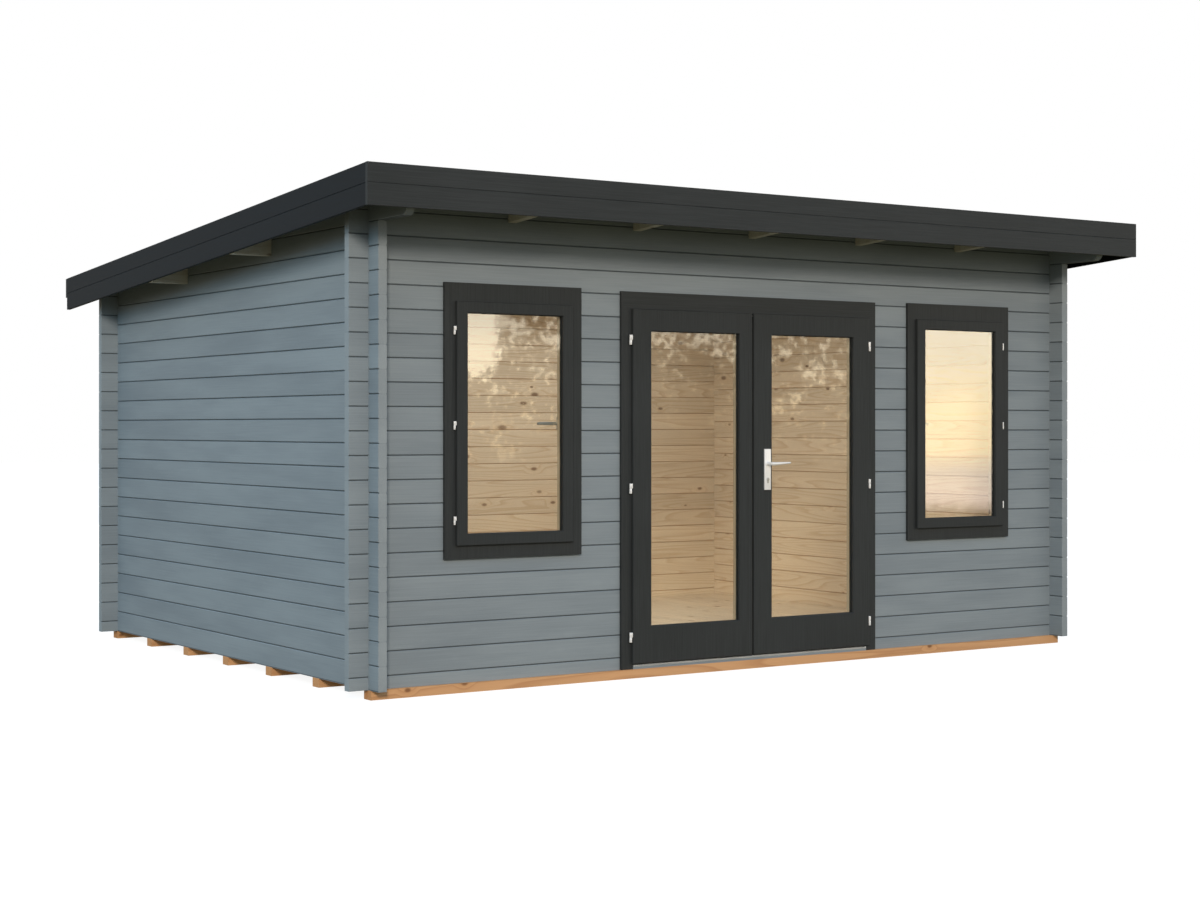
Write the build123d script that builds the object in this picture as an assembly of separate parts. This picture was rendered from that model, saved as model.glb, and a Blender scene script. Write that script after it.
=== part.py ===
from build123d import *
import math
import os

# Garden office pod: a cabin of interlocked logs under a low roof that falls to the back.
# Millimetres. The origin is the plan centre of the walls at ground level, under the middle bearer.
# x runs to the right seen from the front, y to the back and z up.

# Log walls
wall_length = 4500
wall_depth = 3300
log_thickness = 44
log_pitch = 114
log_chamfer = 5
log_end_reach = 100
first_front_course = 60
courses_below_window = 5
courses_over_openings_count = 2
courses_in_top_log_count = 1

# Bearers and floor
bearer_height = 45
bearer_width = 70
bearer_count = 7
floor_thickness = 19
floor_gap = 12

# Roof
roof_pitch = 4.0
roof_front_height = 2432
front_overhang = 422
side_overhang = 221
back_overhang = 236
covering_thickness = 4
deck_thickness = 19
fascia_thickness = 20
fascia_arris = 2
upper_fascia_height = 90
front_fascia_height = 190
side_fascia_height = 187
back_fascia_height = 113
purlin_count = 2
purlin_thickness = 60
purlin_height = 170
rafter_count = 5
rafter_width = 45
rafter_height = 127
corbel_reach = 372
corbel_nose_radius = 48

# Casings and linings that wrap the cut log ends
casing_thickness = 16
inner_casing_thickness = 10
window_casing_lap = 42
door_casing_lap = 42
window_casing_head_lap = 22
door_casing_head_lap = 16
casing_sill_lap = 40
stop_width = 20

# Windows
window_centre = 1468
window_rough_width = 690
window_side_lining = 26
window_sill_lining = 34
window_head_lining = 77
window_gap = 4
sash_stile_width = 60
sash_rail_height = 55

# Double door
door_rough_width = 1600
door_side_lining = 28
door_head_lining = 81
door_gap = 5
meeting_offset = 13
meeting_gap = 7
meeting_rebate = 18
hinge_stile_width = 113
left_meeting_stile_width = 70
right_meeting_stile_width = 120
top_rail_height = 110
bottom_rail_height = 185
sill_height = 12
sill_nose = 20
threshold_height = 10
threshold_upstand = 14
threshold_upstand_depth = 12

# Sashes and leaves: the front of each has a lip that laps over the casing
leaf_thickness = 56
leaf_proud = 34
lip_lap = 10
leaf_arris = 3
glass_thickness = 4
glass_set_back = 16
glass_bite = 12
glass_edge_gap = 2

# Hinges beside the lips: a door hinge has its pin on the casing and its upper half on the leaf
door_hinge_drop = 156
door_hinge_rise = 134
door_barrel_diameter = 14
door_barrel_length = 50
window_hinge_drop = 139
window_hinge_rise = 120
window_barrel_diameter = 10
window_barrel_length = 40
hinge_tab_thickness = 4
hinge_side_gap = 3
hinge_pin_share = 0.5
hinge_pin_clearance = 0.3

# Door handle
handle_from_meeting_edge = 86
handle_height_over_leaf = 999
plate_width = 45
plate_length = 215
plate_thickness = 8
plate_rise = 77
lever_diameter = 17
lever_length = 118
lever_tip_height = 9
lever_grip_thickness = 11
lever_stand_off = 50
spindle_width = 8
spindle_hole_diameter = 16
lever_clearance = 0.4
keyhole_drop = 82
keyhole_diameter = 10
keyhole_depth = 3

# Window handles
window_handle_width = 26
window_handle_plate_length = 70
window_handle_length = 112
window_handle_grip_height = 18
window_handle_stand_off = 34
window_handle_thickness = 12

# One overrun serves every cut
overrun = 30

# Places that follow from the sizes above
left = -wall_length / 2
right = wall_length / 2
front = -wall_depth / 2
back = wall_depth / 2
inner_front = front + log_thickness
inner_left = left + log_thickness
lap_quarter = log_pitch / 4
roof_fall = math.tan(math.radians(roof_pitch))
roof_front = front - front_overhang
roof_back = back + back_overhang
roof_side = wall_length / 2 + side_overhang
deck_front = roof_front + fascia_thickness
deck_back = roof_back - fascia_thickness
deck_side = roof_side - fascia_thickness
deck_top_drop = covering_thickness
deck_under_drop = covering_thickness + deck_thickness


def front_groove(index):
    return bearer_height + first_front_course + index * log_pitch


def side_groove(index):
    return front_groove(index) + log_pitch / 2


def roof_height(y, drop):
    return roof_front_height - roof_fall * (y - roof_front) - drop


# The courses follow the roof: whole logs fit under its boards and under the eave rafters at the front wall
wall_top = roof_height(front, deck_under_drop)
rafter_bottom = roof_height(front, deck_under_drop + rafter_height)
courses_to_boards = math.floor((wall_top - side_groove(0)) / log_pitch)
courses_to_rafters = math.floor((rafter_bottom - front_groove(0)) / log_pitch)
courses_below_top_log = courses_to_boards - courses_in_top_log_count
courses_below_head = courses_to_rafters - courses_over_openings_count
opening_sill = front_groove(courses_below_window)
opening_head = front_groove(courses_below_head)
top_log_bottom = side_groove(courses_below_top_log)
leaf_face = front - leaf_proud
leaf_inner_face = leaf_face + leaf_thickness
casing_face = front - casing_thickness
inner_casing_face = inner_front + inner_casing_thickness
glass_plane = leaf_face + glass_set_back + glass_thickness / 2


# Basic solids
def block(x_low, x_high, y_low, y_high, z_low, z_high):
    middle = ((x_low + x_high) / 2, (y_low + y_high) / 2, (z_low + z_high) / 2)
    return Pos(*middle) * Box(x_high - x_low, y_high - y_low, z_high - z_low)


def prism_along_x(outline, x_low, x_high):
    face = make_face(Polyline(*[(x_low, y, z) for y, z in outline], close=True))
    return extrude(face, x_high - x_low, dir=(1, 0, 0))


def prism_along_y(outline, y_low, y_high):
    face = make_face(Polyline(*[(x, y_low, z) for x, z in outline], close=True))
    return extrude(face, y_high - y_low, dir=(0, 1, 0))


def roof_layer(x_low, x_high, y_low, y_high, upper_drop, lower_drop):
    outline = [
        (y_low, roof_height(y_low, lower_drop)),
        (y_high, roof_height(y_high, lower_drop)),
        (y_high, roof_height(y_high, upper_drop)),
        (y_low, roof_height(y_low, upper_drop)),
    ]
    return prism_along_x(outline, x_low, x_high)


def ring(outer, inner, y_low, y_high):
    x_low, x_high, z_low, z_high = inner
    hole = block(x_low, x_high, y_low - overrun, y_high + overrun, z_low, z_high)
    return block(*outer[:2], y_low, y_high, *outer[2:]) - hole


def grown(rectangle, sides, bottom, top):
    x_low, x_high, z_low, z_high = rectangle
    return (x_low - sides, x_high + sides, z_low - bottom, z_high + top)


def save(node, shape):
    export_step(shape, f"parts/{node}.step")


# Log walls: a stack of logs has a V groove at each joint on both faces
def grooves_between(groove, low, high):
    count = math.ceil((high - groove(0)) / log_pitch) + 1
    return [groove(index) for index in range(count) if low <= groove(index) <= high]


def log_face(bottom, top, grooves):
    points = [] if bottom in grooves else [(0, bottom)]
    for z in grooves:
        if z > bottom:
            points.append((0, z - log_chamfer))
        points.append((log_chamfer, z))
        if z < top:
            points.append((0, z + log_chamfer))
    if top not in grooves:
        points.append((0, top))
    return points


def log_stack(outer, inward, bottom, top, grooves):
    face = log_face(bottom, top, grooves)
    rising = [(outer + inward * depth, z) for depth, z in face]
    falling = [(outer + inward * (log_thickness - depth), z) for depth, z in reversed(face)]
    return rising + falling


# Crossing walls lap at each corner: every log keeps its middle half there and is notched for the other wall
top_limit = roof_height(roof_front, 0)
front_grooves = grooves_between(front_groove, bearer_height, top_limit)
side_laps = [(z - lap_quarter, z + lap_quarter) for z in front_grooves]
front_laps = [(bearer_height, front_groove(0) - lap_quarter)]
front_laps += [(z + lap_quarter, z + log_pitch - lap_quarter) for z in front_grooves]
corner_columns = [(left, inner_left), (-inner_left, right)]
corner_rows = [(front, inner_front), (-inner_front, back)]


def above_roof():
    lift = roof_front_height
    return roof_layer(-roof_side, roof_side, roof_front, roof_back, -lift, deck_under_drop)


def notches_for_side_walls(y_low, y_high):
    return [
        block(x_low, x_high, y_low - overrun, y_high + overrun, z_low, z_high)
        for x_low, x_high in corner_columns
        for z_low, z_high in side_laps
    ]


def notches_for_end_walls(x_low, x_high):
    return [
        block(x_low - overrun, x_high + overrun, y_low, y_high, z_low, z_high)
        for y_low, y_high in corner_rows
        for z_low, z_high in front_laps
    ]


def purlins():
    spacing = wall_depth / (purlin_count + 1)
    solids = []
    for index in range(purlin_count):
        middle = front + (index + 1) * spacing
        y_low = middle - purlin_thickness / 2
        y_high = middle + purlin_thickness / 2
        bottom = roof_height(middle, deck_under_drop + purlin_height)
        outline = [
            (y_low, bottom),
            (y_high, bottom),
            (y_high, roof_height(y_high, deck_under_drop)),
            (y_low, roof_height(y_low, deck_under_drop)),
        ]
        solids.append(prism_along_x(outline, -deck_side, deck_side))
    return solids


def eave_rafters():
    bay = (wall_length - 2 * log_thickness) / (rafter_count + 1)
    first_purlin = front + wall_depth / (purlin_count + 1) - purlin_thickness / 2
    solids = []
    for index in range(rafter_count):
        middle = inner_left + (index + 1) * bay
        x_low = middle - rafter_width / 2
        x_high = middle + rafter_width / 2
        under = deck_under_drop + rafter_height
        solids.append(roof_layer(x_low, x_high, deck_front, first_purlin, deck_under_drop, under))
    return solids


def front_section(x_low, x_high, bottom, top):
    grooves = grooves_between(front_groove, bottom, top)
    stack = prism_along_x(log_stack(front, 1, bottom, top, grooves), x_low, x_high)
    return stack - notches_for_side_walls(front, inner_front)


def front_walls():
    far = left - log_end_reach
    window_outer = -window_centre - window_rough_width / 2
    window_inner = -window_centre + window_rough_width / 2
    door_edge = -door_rough_width / 2
    left_half = {
        "corner_pier": front_section(far, window_outer, bearer_height, opening_head),
        "under_window": front_section(window_outer, window_inner, bearer_height, opening_sill),
        "beside_door": front_section(window_inner, door_edge, bearer_height, opening_head),
    }
    for place, solid in left_half.items():
        save(f"front_wall_left_{place}", solid)
        save(f"front_wall_right_{place}", mirror(solid, Plane.YZ))
    over = front_section(far, -far, opening_head, top_limit)
    save("front_wall_over_openings", over - above_roof() - eave_rafters())


def back_wall():
    far = left - log_end_reach
    grooves = grooves_between(front_groove, bearer_height, top_limit)
    stack = prism_along_x(log_stack(back, -1, bearer_height, top_limit, grooves), far, -far)
    save("back_wall", stack - notches_for_side_walls(-inner_front, back) - above_roof())


def side_section(y_low, bottom, top):
    grooves = grooves_between(side_groove, bottom, top)
    outline = log_stack(left, 1, bottom, top, grooves)
    stack = prism_along_y(outline, y_low, back + log_end_reach)
    stack = stack - notches_for_end_walls(left, inner_left)
    return stack - above_roof() - purlins()


def corbel_nose():
    tip = front - corbel_reach
    radius = corbel_nose_radius
    arc_y = tip + radius
    arc_z = top_log_bottom + radius
    corner = block(left - overrun, inner_left + overrun, tip, arc_y, top_log_bottom, arc_z)
    rounding = Pos((left + inner_left) / 2, arc_y, arc_z) * Rot(0, 90, 0)
    return corner - rounding * Cylinder(radius, log_thickness + 4 * overrun)


def side_walls():
    lower = side_section(front - log_end_reach, bearer_height, top_log_bottom)
    save("left_wall", lower)
    save("right_wall", mirror(lower, Plane.YZ))
    upper = side_section(front - corbel_reach, top_log_bottom, top_limit) - corbel_nose()
    save("left_top_log", upper)
    save("right_top_log", mirror(upper, Plane.YZ))


# Bearers on the ground and the floor between the walls
def base():
    outer_row = wall_depth / 2 - log_thickness + bearer_width / 2
    spacing = 2 * outer_row / (bearer_count - 1)
    rows = [
        block(left, right, y - bearer_width / 2, y + bearer_width / 2, 0, bearer_height)
        for y in [-outer_row + index * spacing for index in range(bearer_count)]
    ]
    save("bearers", Compound(children=rows))
    x_edge = inner_left + floor_gap
    y_edge = inner_front + floor_gap
    floor_top = bearer_height + floor_thickness
    save("floor", block(x_edge, -x_edge, y_edge, -y_edge, bearer_height, floor_top))


# Roof
def fascia_board(shape, run, facing, face, joint_edge):
    long_edges = shape.edges().filter_by(run).filter_by_position(facing, face, face)
    return chamfer(long_edges.group_by(Axis.Z)[joint_edge], fascia_arris)


def front_fascias():
    top = roof_front_height
    joint = top - upper_fascia_height
    bottom = top - front_fascia_height
    upper = block(-roof_side, roof_side, roof_front, deck_front, joint, top)
    lower = block(-roof_side, roof_side, roof_front, deck_front, bottom, joint)
    save("front_fascia_upper", fascia_board(upper, Axis.X, Axis.Y, roof_front, 0))
    save("front_fascia_lower", fascia_board(lower, Axis.X, Axis.Y, roof_front, -1))


def side_fascias():
    slope = Axis((0, 0, 0), (0, 1, -roof_fall))
    joint = upper_fascia_height
    upper = roof_layer(-roof_side, -deck_side, deck_front, deck_back, 0, joint)
    lower = roof_layer(-roof_side, -deck_side, deck_front, deck_back, joint, side_fascia_height)
    upper = fascia_board(upper, slope, Axis.X, -roof_side, 0)
    lower = fascia_board(lower, slope, Axis.X, -roof_side, -1)
    save("left_fascia_upper", upper)
    save("left_fascia_lower", lower)
    save("right_fascia_upper", mirror(upper, Plane.YZ))
    save("right_fascia_lower", mirror(lower, Plane.YZ))


def roof():
    save("purlins", Compound(children=purlins()))
    save("eave_rafters", Compound(children=eave_rafters()))
    deck = roof_layer(-deck_side, deck_side, deck_front, deck_back, deck_top_drop, deck_under_drop)
    save("roof_deck", deck)
    save("roof_covering", roof_layer(-deck_side, deck_side, deck_front, deck_back, 0, deck_top_drop))
    front_fascias()
    side_fascias()
    top = roof_height(roof_back, 0)
    save("back_fascia", block(-roof_side, roof_side, deck_back, roof_back, top - back_fascia_height, top))


# Windows
def glazed_frame(lip, body, lip_back, members):
    left_member, right_member, bottom_member, top_member = members
    x_low, x_high, z_low, z_high = lip
    light = (x_low + left_member, x_high - right_member, z_low + bottom_member, z_high - top_member)
    frame = ring(lip, light, leaf_face, lip_back)
    face_edges = frame.edges().filter_by_position(Axis.Y, leaf_face, leaf_face)
    frame = chamfer(face_edges, leaf_arris) + ring(body, light, lip_back, leaf_inner_face)
    pane_low = glass_plane - glass_thickness / 2
    pane_high = glass_plane + glass_thickness / 2
    rebate = grown(light, glass_bite, glass_bite, glass_bite)
    frame = frame - block(*rebate[:2], pane_low, pane_high, *rebate[2:])
    edge = glass_bite - glass_edge_gap
    pane = grown(light, edge, edge, edge)
    return frame, block(*pane[:2], pane_low, pane_high, *pane[2:])


def window_opening(centre):
    half = window_rough_width / 2
    return (centre - half, centre + half, opening_sill, opening_head)


def window_clear(centre):
    x_low, x_high, z_low, z_high = window_opening(centre)
    side = window_side_lining
    return (x_low + side, x_high - side, z_low + window_sill_lining, z_high - window_head_lining)


def window_frame(centre):
    opening = window_opening(centre)
    clear = window_clear(centre)
    casing = grown(opening, window_casing_lap, casing_sill_lap, window_casing_head_lap)
    stop = grown(clear, -stop_width, -stop_width, -stop_width)
    lining = ring(opening, clear, casing_face, inner_casing_face)
    outside = ring(casing, clear, casing_face, front)
    inside = ring(casing, clear, inner_front, inner_casing_face)
    stops = ring(clear, stop, leaf_inner_face, inner_casing_face)
    return lining + outside + inside + stops


def hinge_heights(low, high, rise, drop):
    return [low + rise, (low + rise + high - drop) / 2, high - drop]


def upright(x, y, radius, low, high):
    return Pos(x, y, (low + high) / 2) * Cylinder(radius, high - low)


def casing_arm(axis_x, axis_y, low, high):
    half = hinge_tab_thickness / 2
    return block(axis_x - half, axis_x + half, axis_y, casing_face, low, high)


def leaf_tab(axis_x, axis_y, leaf_edge, low, high):
    return block(*sorted((axis_x, leaf_edge)), axis_y - hinge_tab_thickness, axis_y, low, high)


def window_hinge(axis_x, sash_edge, middle):
    radius = window_barrel_diameter / 2
    axis_y = casing_face - hinge_side_gap - radius
    bottom = middle - window_barrel_length / 2
    top = middle + window_barrel_length / 2
    hinge = upright(axis_x, axis_y, radius, bottom, top)
    hinge += casing_arm(axis_x, axis_y, bottom, middle)
    return hinge + leaf_tab(axis_x, axis_y, sash_edge, middle, top)


def door_hinge(axis_x, leaf_edge, middle):
    radius = door_barrel_diameter / 2
    axis_y = casing_face - hinge_side_gap - radius
    bottom = middle - door_barrel_length / 2
    top = middle + door_barrel_length / 2
    pin_radius = radius * hinge_pin_share
    pin_top = top - hinge_tab_thickness
    lower = upright(axis_x, axis_y, radius, bottom, middle)
    lower += casing_arm(axis_x, axis_y, bottom, middle)
    lower += upright(axis_x, axis_y, pin_radius, middle, pin_top)
    lift = middle + hinge_pin_clearance
    bore_top = pin_top + hinge_pin_clearance
    upper = upright(axis_x, axis_y, radius, lift, top)
    upper += leaf_tab(axis_x, axis_y, leaf_edge, lift, top)
    upper -= upright(axis_x, axis_y, pin_radius + hinge_pin_clearance, middle, bore_top)
    return lower, upper


def window_handle(x, z, towards_hinge):
    half = window_handle_width / 2
    plate_half = window_handle_plate_length / 2
    grip_half = window_handle_grip_height / 2
    plate_face = leaf_inner_face + window_handle_thickness
    grip_face = leaf_inner_face + window_handle_stand_off
    grip_back = grip_face - window_handle_thickness
    grip_sides = sorted((x, x + towards_hinge * window_handle_length))
    handle = block(x - half, x + half, leaf_inner_face, plate_face, z - plate_half, z + plate_half)
    handle += block(x - grip_half, x + grip_half, leaf_inner_face, grip_face, z - grip_half, z + grip_half)
    return handle + block(*grip_sides, grip_back, grip_face, z - grip_half, z + grip_half)


def windows():
    hinges = []
    handles = []
    panes = []
    for side, outward in (("left", -1), ("right", 1)):
        centre = outward * window_centre
        save(f"{side}_window_frame", window_frame(centre))
        clear = window_clear(centre)
        lip = grown(clear, lip_lap, lip_lap, lip_lap)
        body = grown(clear, -window_gap, -window_gap, -window_gap)
        members = (sash_stile_width, sash_stile_width, sash_rail_height, sash_rail_height)
        sash, pane = glazed_frame(lip, body, casing_face - window_gap, members)
        save(f"{side}_window_sash", sash)
        panes.append(pane)
        x_low, x_high, z_low, z_high = lip
        hinge_edge = x_low if outward < 0 else x_high
        handle_edge = x_high if outward < 0 else x_low
        axis_x = hinge_edge + outward * (hinge_side_gap + window_barrel_diameter / 2)
        for z in hinge_heights(z_low, z_high, window_hinge_rise, window_hinge_drop):
            hinges.append(window_hinge(axis_x, hinge_edge, z))
        grip_x = handle_edge + outward * (sash_stile_width + lip_lap + stop_width) / 2
        handles.append(window_handle(grip_x, (z_low + z_high) / 2, outward))
    save("window_glass", Compound(children=panes))
    save("window_hinges", Compound(children=hinges))
    save("window_handles", Compound(children=handles))


# Double door
door_edge = door_rough_width / 2 - door_side_lining
door_head = opening_head - door_head_lining
threshold_top = bearer_height + sill_height + threshold_height
leaf_bottom = threshold_top + door_gap
leaf_top = door_head + lip_lap
leaf_outer = door_edge + lip_lap
body_top = door_head - door_gap
body_outer = door_edge - door_gap
stop_face = leaf_inner_face + door_gap


def door_frame():
    rough = door_rough_width / 2
    casing = rough + door_casing_lap
    jamb = block(-rough, -door_edge, casing_face, inner_casing_face, bearer_height, door_head)
    jamb += block(-casing, -rough, casing_face, front, bearer_height, door_head)
    jamb += block(-casing, -rough, inner_front, inner_casing_face, bearer_height, door_head)
    stop_edge = -door_edge + stop_width
    jamb += block(-door_edge, stop_edge, stop_face, inner_casing_face, threshold_top, door_head)
    save("left_door_jamb", jamb)
    save("right_door_jamb", mirror(jamb, Plane.YZ))
    head = block(-rough, rough, casing_face, inner_casing_face, door_head, opening_head)
    head_top = opening_head + door_casing_head_lap
    for y_low, y_high in ((casing_face, front), (inner_front, inner_casing_face)):
        head += block(-casing, casing, y_low, y_high, opening_head, head_top)
        head += block(-casing, -rough, y_low, y_high, door_head, opening_head)
        head += block(rough, casing, y_low, y_high, door_head, opening_head)
    stop_end = door_edge - stop_width
    head += block(-stop_end, stop_end, stop_face, inner_casing_face, door_head - stop_width, door_head)
    save("door_head", head)


def door_sill():
    sill_top = bearer_height + sill_height
    sill_front = front - sill_nose
    save("door_sill", block(-door_edge, door_edge, sill_front, inner_casing_face, bearer_height, sill_top))
    strip = block(-door_edge, door_edge, sill_front, inner_casing_face, sill_top, threshold_top)
    upstand_end = door_edge - stop_width
    upstand_low = inner_casing_face - threshold_upstand_depth
    upstand_top = threshold_top + threshold_upstand
    strip += block(-upstand_end, upstand_end, upstand_low, inner_casing_face, threshold_top, upstand_top)
    save("threshold", strip)


def along_y(x, z, diameter, y_low, y_high):
    return Pos(x, (y_low + y_high) / 2, z) * Rot(90, 0, 0) * Cylinder(diameter / 2, y_high - y_low)


handle_x = handle_from_meeting_edge - meeting_offset
handle_z = leaf_bottom + handle_height_over_leaf
plate_top = handle_z + plate_rise


def handle_plate(y_low, y_high):
    half = plate_width / 2
    plate = block(handle_x - half, handle_x + half, y_low, y_high, plate_top - plate_length, plate_top)
    bore = lever_diameter + 2 * lever_clearance
    return plate - along_y(handle_x, handle_z, bore, y_low - overrun, y_high + overrun)


def lever_grip(face, outward):
    back_face = face + outward * (lever_stand_off - lever_grip_thickness / 2)
    front_face = face + outward * (lever_stand_off + lever_grip_thickness / 2)
    tip_x = handle_x + lever_length
    top = handle_z + lever_diameter / 2
    outline = [
        (handle_x, top - lever_diameter),
        (tip_x, top - lever_tip_height),
        (tip_x, top),
        (handle_x, top),
    ]
    grip_sides = sorted((back_face, front_face))
    grip = prism_along_y(outline, *grip_sides)
    grip += along_y(tip_x, top - lever_tip_height / 2, lever_tip_height, *grip_sides)
    return grip + along_y(handle_x, handle_z, lever_diameter, *sorted((face, front_face)))


def door_handle():
    outer_face = leaf_face - plate_thickness
    inner_face = leaf_inner_face + plate_thickness
    keyhole_z = handle_z - keyhole_drop
    keyhole = along_y(handle_x, keyhole_z, keyhole_diameter, outer_face, outer_face + keyhole_depth)
    outer_plate = handle_plate(outer_face, leaf_face) - keyhole
    inner_plate = handle_plate(leaf_inner_face, inner_face)
    save("handle_plates", Compound(children=[outer_plate, inner_plate]))
    spindle_half = spindle_width / 2
    lever = block(
        handle_x - spindle_half, handle_x + spindle_half, leaf_face, leaf_inner_face,
        handle_z - spindle_half, handle_z + spindle_half,
    )
    lever += lever_grip(leaf_face, -1)
    lever += lever_grip(leaf_inner_face, 1)
    save("door_lever", lever)


# The right leaf reaches past the middle, and a step in the left leaf's edge shows beside it
def left_leaf():
    body_edge = -meeting_offset - meeting_gap
    lip = (-leaf_outer, body_edge - meeting_rebate, leaf_bottom, leaf_top)
    body = (-body_outer, body_edge, leaf_bottom, body_top)
    members = (hinge_stile_width, left_meeting_stile_width, bottom_rail_height, top_rail_height)
    return glazed_frame(lip, body, casing_face - door_gap, members)


def right_leaf():
    lip = (-meeting_offset, leaf_outer, leaf_bottom, leaf_top)
    body = (-meeting_offset, body_outer, leaf_bottom, body_top)
    members = (right_meeting_stile_width, hinge_stile_width, bottom_rail_height, top_rail_height)
    return glazed_frame(lip, body, casing_face - door_gap, members)


def doors():
    hinge_axis = leaf_outer + hinge_side_gap + door_barrel_diameter / 2
    hole_sides = (leaf_face - overrun, leaf_inner_face + overrun)
    spindle_hole = along_y(handle_x, handle_z, spindle_hole_diameter, *hole_sides)
    frame_halves = []
    for side, outward in (("left", -1), ("right", 1)):
        leaf, pane = left_leaf() if outward < 0 else right_leaf()
        if outward > 0:
            leaf -= spindle_hole
        save(f"{side}_door_leaf", leaf)
        save(f"{side}_door_glass", pane)
        leaf_halves = []
        for z in hinge_heights(leaf_bottom, leaf_top, door_hinge_rise, door_hinge_drop):
            lower, upper = door_hinge(outward * hinge_axis, outward * leaf_outer, z)
            frame_halves.append(lower)
            leaf_halves.append(upper)
        save(f"{side}_door_hinges", Compound(children=leaf_halves))
    save("door_hinge_pins", Compound(children=frame_halves))


os.makedirs("parts", exist_ok=True)
base()
front_walls()
back_wall()
side_walls()
roof()
windows()
door_frame()
door_sill()
doors()
door_handle()
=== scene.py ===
import math

import bpy
from mathutils import Matrix, Vector


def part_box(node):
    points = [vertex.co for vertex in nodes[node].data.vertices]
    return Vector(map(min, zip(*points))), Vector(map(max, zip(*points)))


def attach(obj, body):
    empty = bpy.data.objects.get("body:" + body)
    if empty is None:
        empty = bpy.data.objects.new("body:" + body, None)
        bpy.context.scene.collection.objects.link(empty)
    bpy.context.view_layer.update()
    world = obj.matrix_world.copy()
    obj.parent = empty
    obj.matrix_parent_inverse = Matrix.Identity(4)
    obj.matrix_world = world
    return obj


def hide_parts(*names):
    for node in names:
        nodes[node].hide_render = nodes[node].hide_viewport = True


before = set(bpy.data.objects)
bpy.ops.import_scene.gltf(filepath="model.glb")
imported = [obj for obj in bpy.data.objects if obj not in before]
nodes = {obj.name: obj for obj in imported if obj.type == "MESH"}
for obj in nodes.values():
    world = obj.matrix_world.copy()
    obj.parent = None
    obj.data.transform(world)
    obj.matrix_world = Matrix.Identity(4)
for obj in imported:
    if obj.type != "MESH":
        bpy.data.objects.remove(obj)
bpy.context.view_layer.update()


# A node's output, with Math nodes behind its operators
class Wire:
    def __init__(self, finish, socket):
        self.finish = finish
        self.socket = socket

    def calc(self, operation, *values):
        return self.finish.add("ShaderNodeMath", {"operation": operation}, dict(enumerate(values)))

    def __add__(self, other):
        return self.calc("ADD", self, other)

    def __radd__(self, other):
        return self.calc("ADD", other, self)

    def __sub__(self, other):
        return self.calc("SUBTRACT", self, other)

    def __rsub__(self, other):
        return self.calc("SUBTRACT", other, self)

    def __mul__(self, other):
        return self.calc("MULTIPLY", self, other)

    def __rmul__(self, other):
        return self.calc("MULTIPLY", other, self)

    def __truediv__(self, other):
        return self.calc("DIVIDE", self, other)

    def __pow__(self, other):
        return self.calc("POWER", self, other)

    def __lt__(self, other):
        return self.calc("LESS_THAN", self, other)

    def __gt__(self, other):
        return self.calc("GREATER_THAN", self, other)

    def __abs__(self):
        return self.calc("ABSOLUTE", self)

    def floor(self):
        return self.calc("FLOOR", self)

    def fract(self):
        return self.calc("FRACT", self)


# A node tree under construction, for a material or for the world
class Finish:
    def __init__(self, owner):
        self.owner = owner
        owner.use_nodes = True
        self.tree = owner.node_tree
        self.tree.nodes.clear()

    def add(self, kind, settings, sockets, out=0):
        node = self.tree.nodes.new(kind)
        for key, value in settings.items():
            if key == "stops":
                self.setStops(node.color_ramp, value)
            else:
                setattr(node, key, value)
        for key, value in sockets.items():
            if isinstance(value, Wire):
                self.tree.links.new(value.socket, node.inputs[key])
            else:
                node.inputs[key].default_value = value
        if isinstance(out, tuple):
            return [Wire(self, node.outputs[key]) for key in out]
        return Wire(self, node.outputs[out])

    def setStops(self, ramp, stops):
        while len(ramp.elements) < len(stops):
            ramp.elements.new(1.0)
        for element, (place, colour) in zip(ramp.elements, stops):
            element.position = place
            element.color = (*colour, 1)

    def spot(self):  # the point on the piece, in metres
        where = self.add("ShaderNodeTexCoord", {}, {}, "Object")
        return self.add("ShaderNodeSeparateXYZ", {}, {0: where}, ("X", "Y", "Z"))

    def facing(self):  # the surface's own normal
        normal = self.add("ShaderNodeTexCoord", {}, {}, "Normal")
        return self.add("ShaderNodeSeparateXYZ", {}, {0: normal}, ("X", "Y", "Z"))

    def vector(self, x, y, z):
        return self.add("ShaderNodeCombineXYZ", {}, {0: x, 1: y, 2: z})

    def noise(self, at, scale=1.0, detail=2.0, rough=0.5):
        sockets = {"Vector": at, "Scale": scale, "Detail": detail, "Roughness": rough}
        return self.add("ShaderNodeTexNoise", {}, sockets)

    def lottery(self, number):  # one even random share for each whole number
        return self.add("ShaderNodeTexWhiteNoise", {"noise_dimensions": "1D"}, {"W": number}, "Value")

    def ease(self, value, low, high):  # 0 below low, 1 above high, smooth between
        sockets = {"Value": value, "From Min": low, "From Max": high}
        return self.add("ShaderNodeMapRange", {"interpolation_type": "SMOOTHSTEP"}, sockets)

    def ramp(self, value, stops):
        return self.add("ShaderNodeValToRGB", {"stops": stops}, {0: value})

    def tint(self, share, first, second, way="MIX"):
        first = first if isinstance(first, Wire) else (*first, 1)
        second = second if isinstance(second, Wire) else (*second, 1)
        settings = {"data_type": "RGBA", "blend_type": way}
        return self.add("ShaderNodeMix", settings, {0: share, 6: first, 7: second}, 2)

    def shade(self, colour, amount):  # multiplies a colour by a grey value
        return self.tint(1.0, colour, self.vector(amount, amount, amount), "MULTIPLY")

    def relief(self, height, depth, strength=1.0):
        return self.add("ShaderNodeBump", {}, {"Height": height, "Distance": depth, "Strength": strength})

    def skin(self, **sockets):  # a Principled shader to the material's output
        named = {key.replace("_", " "): value for key, value in sockets.items()}
        self.show(self.add("ShaderNodeBsdfPrincipled", {}, named))
        return self.owner

    def show(self, shader):
        self.add("ShaderNodeOutputMaterial", {"is_active_output": True}, {"Surface": shader}, ())


def newFinish(name):
    return Finish(bpy.data.materials.new(name))


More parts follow.
